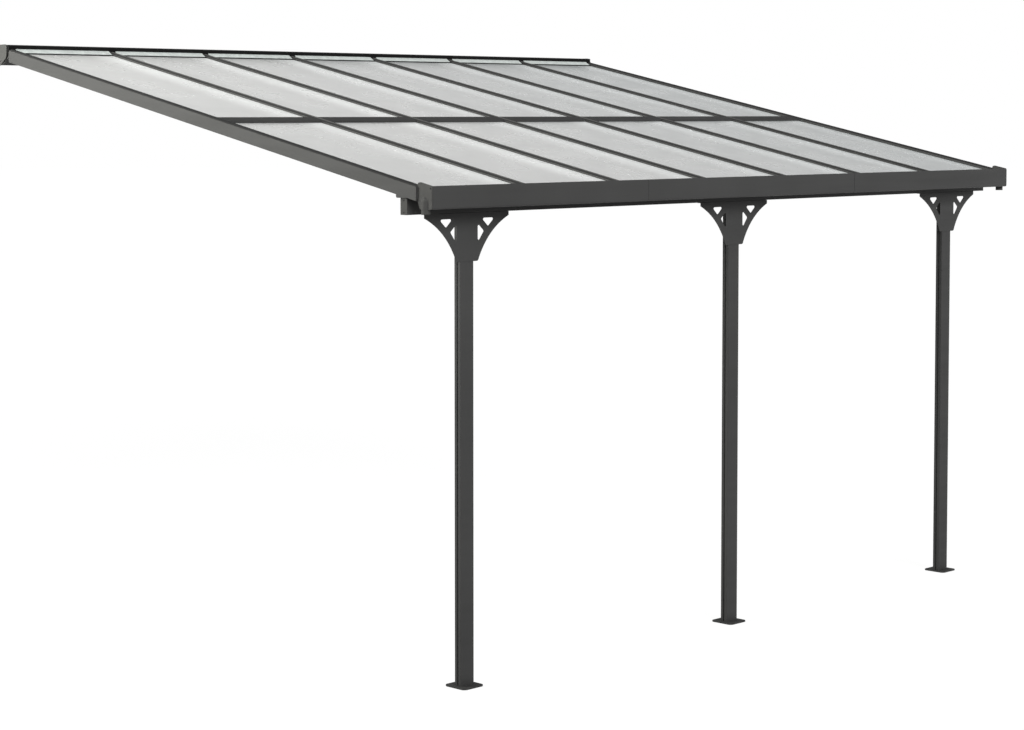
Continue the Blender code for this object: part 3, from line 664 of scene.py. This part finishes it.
def build_gutter_seams(dark, paint):
    """Butt joints of the gutter's lengths, with the sleeve that bridges each inside the trough."""
    low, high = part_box("gutter")
    half = GUTTER_WALL / 2
    outside = gutter_band(high[2], low[2] + SEAM_BACK_HEIGHT, -half, -half - SEAM_PROUD)
    inside = half + SLEEVE_PLAY
    sleeve = gutter_band(high[2] - SLEEVE_FRONT_DROP, low[2] + SLEEVE_BACK_HEIGHT, inside,
                         inside + SLEEVE_THICKNESS)
    for number, x in enumerate(SEAM_PLACES, start=1):
        bm = bmesh.new()
        add_prism(bm, outside, x - SEAM_WIDTH / 2, x + SEAM_WIDTH / 2, along_x)
        finish_piece("gutter_seam_%d" % number, bm, dark)
        bm = bmesh.new()
        add_prism(bm, sleeve, x - SLEEVE_LENGTH / 2, x + SLEEVE_LENGTH / 2, along_x)
        finish_piece("gutter_sleeve_%d" % number, bm, paint)


# Fasteners

def build_screw(name, centre, outward, steel):
    """Pan-head screw: a turned dome with a round recess, facing along outward."""
    bm = bmesh.new()
    rings = []
    for radius, height in SCREW_PROFILE:
        ring = []
        for step in range(SCREW_SEGMENTS):
            turn = 2 * math.pi * step / SCREW_SEGMENTS
            ring.append(bm.verts.new((radius * SCREW_RADIUS * math.cos(turn),
                                      radius * SCREW_RADIUS * math.sin(turn),
                                      height * SCREW_HEIGHT)))
        rings.append(ring)
    bm.faces.new(rings[0])
    for inner, outer in zip(rings, rings[1:]):
        for step in range(SCREW_SEGMENTS):
            after = (step + 1) % SCREW_SEGMENTS
            bm.faces.new((inner[step], outer[step], outer[after], inner[after]))
    bm.faces.new(rings[-1][::-1])
    aim = Vector((0.0, 0.0, 1.0)).rotation_difference(Vector(outward)).to_matrix().to_4x4()
    bmesh.ops.transform(bm, matrix=Matrix.Translation(Vector(centre)) @ aim, verts=bm.verts)
    finish_piece(name, bm, steel)


def build_screws(steel):
    """Two screws in each cap of the beam, and one in each of the wall profile and the gutter."""
    for side, label in ((-1, "left"), (1, "right")):
        outward = (side, 0, 0)
        low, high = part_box("beam_cap_" + label)
        x = outer_x("beam_cap_" + label, side)
        y = (low[1] + high[1]) / 2
        for number, z in enumerate((low[2] + SCREW_FROM_EDGE, high[2] - SCREW_FROM_EDGE), start=1):
            build_screw("beam_cap_screw_%s_%d" % (label, number), (x, y, z), outward, steel)
        low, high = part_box("wall_cap_" + label)
        x = outer_x("wall_cap_" + label, side)
        place = (x, low[1] * WALL_SCREW_SHARE, low[2] + WALL_SCREW_RISE)
        build_screw("wall_cap_screw_" + label, place, outward, steel)
        low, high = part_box("gutter")
        place = (side * GUTTER_CAP_FACE, low[1] + GUTTER_SCREW_FROM_FRONT, high[2] - SCREW_FROM_EDGE)
        build_screw("gutter_cap_screw_" + label, place, outward, steel)


# Stage

def build_floor():
    """Pale floor that reads white to the camera and still takes the object's soft shadow."""
    bpy.ops.mesh.primitive_circle_add(vertices=FLOOR_CORNERS, radius=FLOOR_RADIUS, fill_type="NGON",
                                      location=(0.0, 0.0, CAD_BOUNDS[0][2] - FLOOR_DROP))
    floor = bpy.context.object
    floor.name = "floor"
    mat, tree, shader = new_material("pale_floor", FLOOR_COLOUR, roughness=0.9, specular=0.0)
    shader.inputs["Emission Color"].default_value = WHITE
    glow = math_node(tree, "MULTIPLY", plainly_seen(tree), FLOOR_GLOW)
    tree.links.new(glow, shader.inputs["Emission Strength"])
    floor.data.materials.append(mat)


def build_world():
    """Even studio light; rays that see the surroundings meet plain white."""
    world = bpy.data.worlds.new("studio")
    bpy.context.scene.world = world
    world.use_nodes = True
    tree = world.node_tree
    background = tree.nodes["Background"]
    background.inputs["Color"].default_value = WHITE
    strength = ramp(tree, plainly_seen(tree), low=0.0, high=1.0, to_low=WORLD_STRENGTH)
    tree.links.new(strength, background.inputs["Strength"])


def build_sun(name, towards, strength, angle):
    lamp = bpy.data.lights.new(name, "SUN")
    lamp.energy = strength
    lamp.angle = math.radians(angle)
    obj = bpy.data.objects.new(name, lamp)
    obj.rotation_euler = Vector(towards).to_track_quat("-Z", "Y").to_euler()
    bpy.context.scene.collection.objects.link(obj)


def build_soft_box(name, place, target, size, power):
    lamp = bpy.data.lights.new(name, "AREA")
    lamp.shape = "RECTANGLE"
    lamp.size = size[0]
    lamp.size_y = size[1]
    lamp.energy = power
    lamp.color = WARM
    obj = bpy.data.objects.new(name, lamp)
    obj.location = place
    aim = Vector(target) - Vector(place)
    obj.rotation_euler = aim.to_track_quat("-Z", "Y").to_euler()
    bpy.context.scene.collection.objects.link(obj)


def build_camera():
    data = bpy.data.cameras.new("camera")
    data.lens = CAMERA_LENS
    data.sensor_width = CAMERA_SENSOR
    data.sensor_fit = "HORIZONTAL"
    data.shift_y = CAMERA_SHIFT_Y
    data.clip_end = CAMERA_REACH
    camera = bpy.data.objects.new("camera", data)
    camera.location = CAMERA_PLACE
    camera.rotation_euler = (math.pi / 2 + CAMERA_PITCH, 0.0, -CAMERA_YAW)
    bpy.context.scene.collection.objects.link(camera)
    bpy.context.scene.camera = camera


def dress_frame(materials):
    """Gives every CAD node its finish: that of its own name, of its kind or of its slot."""
    for entry in frame["record"]["subparts"]:
        name = entry["node"]
        obj = frame["nodes"][name]
        mat = materials[entry["material_slot"]]
        mat = materials.get(name.rstrip("0123456789_"), mat)
        mat = materials.get(name, mat)
        obj.data.materials.clear()
        obj.data.materials.append(mat)


# The coats' tops take darker colours, painted shade, and the rafters' caps a painted highlight along
# their middles
# The coats' stretch draws their shine out along the bars: level ones along X, rafters along Y
coat_level = powder_coat("powder_coat_level", (0.05, 1.0, 1.0), COAT_TOP_PAINTED_SHADE)
coat_slope = powder_coat("powder_coat_slope", (1.0, 0.05, 1.0), CAP_TOP_PAINTED_SHADE, CAP_MIDDLE_PAINTED_HIGHLIGHT)
coat_side = powder_coat("powder_coat_side", (1.0, 0.05, 1.0), CAP_TOP_PAINTED_SHADE)
coat_plate = powder_coat("powder_coat_plate", (1.0, 1.0, 1.0), PLATE_TOP_PAINTED_SHADE)
plastic = moulded_plastic("cap_plastic")
sheet = frosted_sheet("frosted_sheet")
pale = soft_strip("pale_seal", PALE_SEAL, roughness=0.5, specular=0.2)
rubber = soft_strip("black_rubber", BLACK_RUBBER, roughness=0.9)
seam_dark = soft_strip("seam_shadow", SEAM_SHADOW, roughness=0.7)
steel = screw_steel("dark_steel")

dress_frame({"grey_powder_coat": coat_level, "grey_cap_plastic": plastic,
             "frosted_polycarbonate": sheet, "clear_seal": pale, "rafter": coat_slope,
             "rafter_1": coat_side, "rafter_%d" % (BAY_COUNT + 1): coat_side,
             "base_plate": coat_plate})
build_cap_lips(rubber)
build_joint_lips(rubber)
build_wall_strip(rubber)
build_wall_flaps(pale, rubber)
build_rafter_heads(rubber)
build_seal_ends(rubber)
build_end_plugs(coat_side)
build_gutter_seams(seam_dark, coat_level)
build_screws(steel)

build_camera()
build_floor()
build_world()
build_sun("front_light", towards=(0.30, 1.0, -0.50), strength=2.1, angle=25.0)
build_soft_box("side_light", place=(-8.5, -4.5, 1.2), target=(-2.1, -1.8, -0.6), size=(4.0, 3.0),
               power=112.0)
build_soft_box("wall_light", place=(-5.2, 0.8, 1.0), target=(-2.1, -0.4, 0.0), size=(2.0, 1.5),
               power=315.0)
bpy.context.scene.view_settings.view_transform = "Standard"
